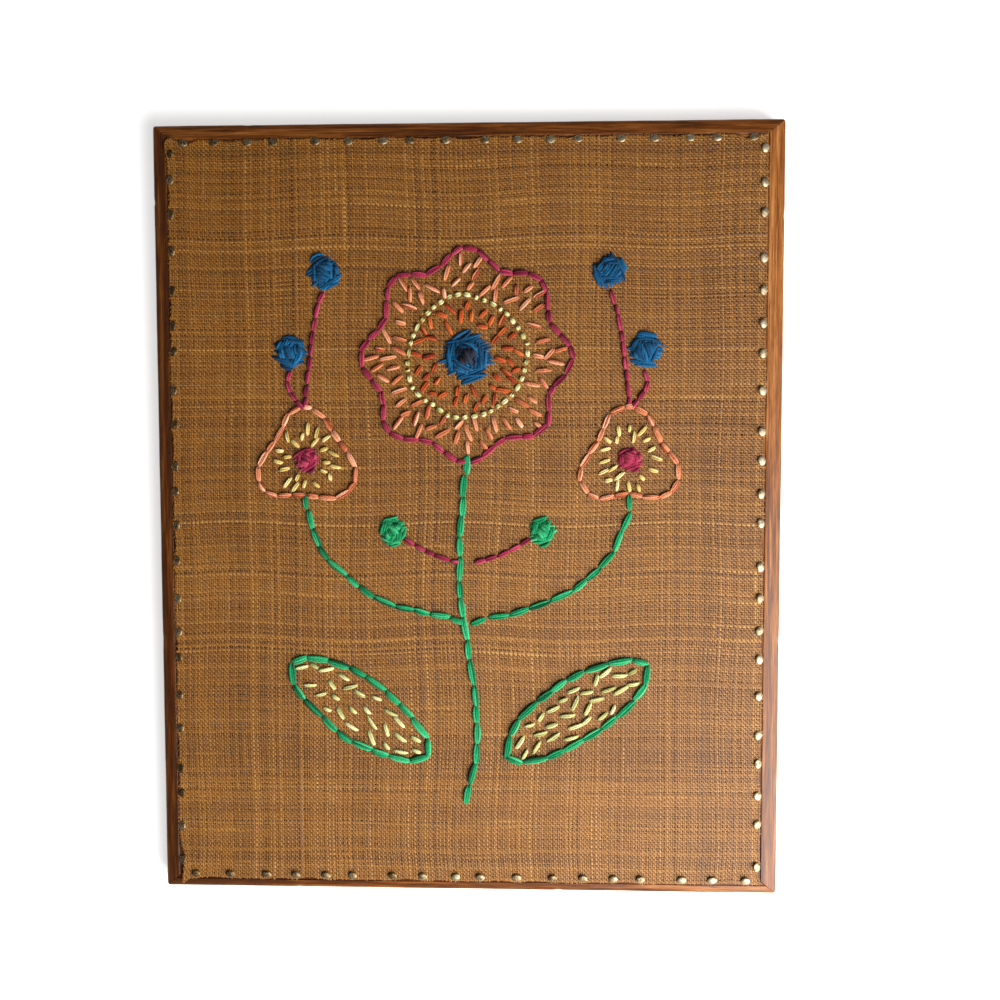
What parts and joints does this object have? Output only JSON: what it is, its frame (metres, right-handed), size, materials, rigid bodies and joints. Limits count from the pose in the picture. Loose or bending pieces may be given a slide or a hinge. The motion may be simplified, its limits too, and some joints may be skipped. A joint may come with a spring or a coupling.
{
  "type": "framed burlap embroidery",
  "caption": "Burlap sheet with a wool-stitched flower spray, tacked on the ledge of a mitred wooden frame with a back panel; lies on its back or hangs on a wall.",
  "frame": {"origin": "middle of the back, on the surface that it lies on", "axes": "+X the picture's right, +Y its top, +Z out of its face"},
  "size_m": [0.432, 0.534, 0.0213],
  "materials": {
    "wood": "reddish-brown stain under a worn satin varnish",
    "hardboard": "smooth, slightly glossy brown hardboard",
    "burlap": "golden-brown jute in open plain weave",
    "tack_steel": "dull plated steel",
    "wool_green": "soft wool yarn",
    "wool_magenta": "soft wool yarn",
    "wool_lime": "soft wool yarn",
    "wool_blue": "soft wool yarn",
    "wool_coral": "soft wool yarn"
  },
  "bodies": {
    "root": {"back_panel": "hardboard", "cloth": "burlap", "frame_bottom": "wood", "frame_left": "wood", "frame_right": "wood", "frame_top": "wood", "stitch_berry_high_left": "wool_blue", "stitch_berry_high_right": "wool_blue", "stitch_berry_low_left": "wool_blue", "stitch_berry_low_right": "wool_blue", "stitch_bloom": "wool_magenta", "stitch_bloom_heart": "wool_blue", "stitch_bloom_ring": "wool_lime", "stitch_blossom_left": "wool_coral", "stitch_blossom_right": "wool_coral", "stitch_branch_left": "wool_green", "stitch_branch_right": "wool_green", "stitch_leaf_left": "wool_green", "stitch_leaf_right": "wool_green", "stitch_stem": "wool_green", "tack_bottom_1": "tack_steel", "tack_bottom_11": "tack_steel", "tack_bottom_13": "tack_steel", "tack_bottom_15": "tack_steel", "tack_bottom_17": "tack_steel", "tack_bottom_3": "tack_steel", "tack_bottom_5": "tack_steel", "tack_bottom_7": "tack_steel", "tack_bottom_9": "tack_steel", "tack_left_1": "tack_steel", "tack_left_11": "tack_steel", "tack_left_13": "tack_steel", "tack_left_15": "tack_steel", "tack_left_17": "tack_steel", "tack_left_19": "tack_steel", "tack_left_21": "tack_steel", "tack_left_3": "tack_steel", "tack_left_5": "tack_steel", "tack_left_7": "tack_steel", "tack_left_9": "tack_steel", "tack_right_1": "tack_steel", "tack_right_11": "tack_steel", "tack_right_13": "tack_steel", "tack_right_15": "tack_steel", "tack_right_17": "tack_steel", "tack_right_19": "tack_steel", "tack_right_21": "tack_steel", "tack_right_3": "tack_steel", "tack_right_5": "tack_steel", "tack_right_7": "tack_steel", "tack_right_9": "tack_steel", "tack_top_1": "tack_steel", "tack_top_11": "tack_steel", "tack_top_13": "tack_steel", "tack_top_15": "tack_steel", "tack_top_17": "tack_steel", "tack_top_3": "tack_steel", "tack_top_5": "tack_steel", "tack_top_7": "tack_steel", "tack_top_9": "tack_steel"}
  },
  "joints": []
}
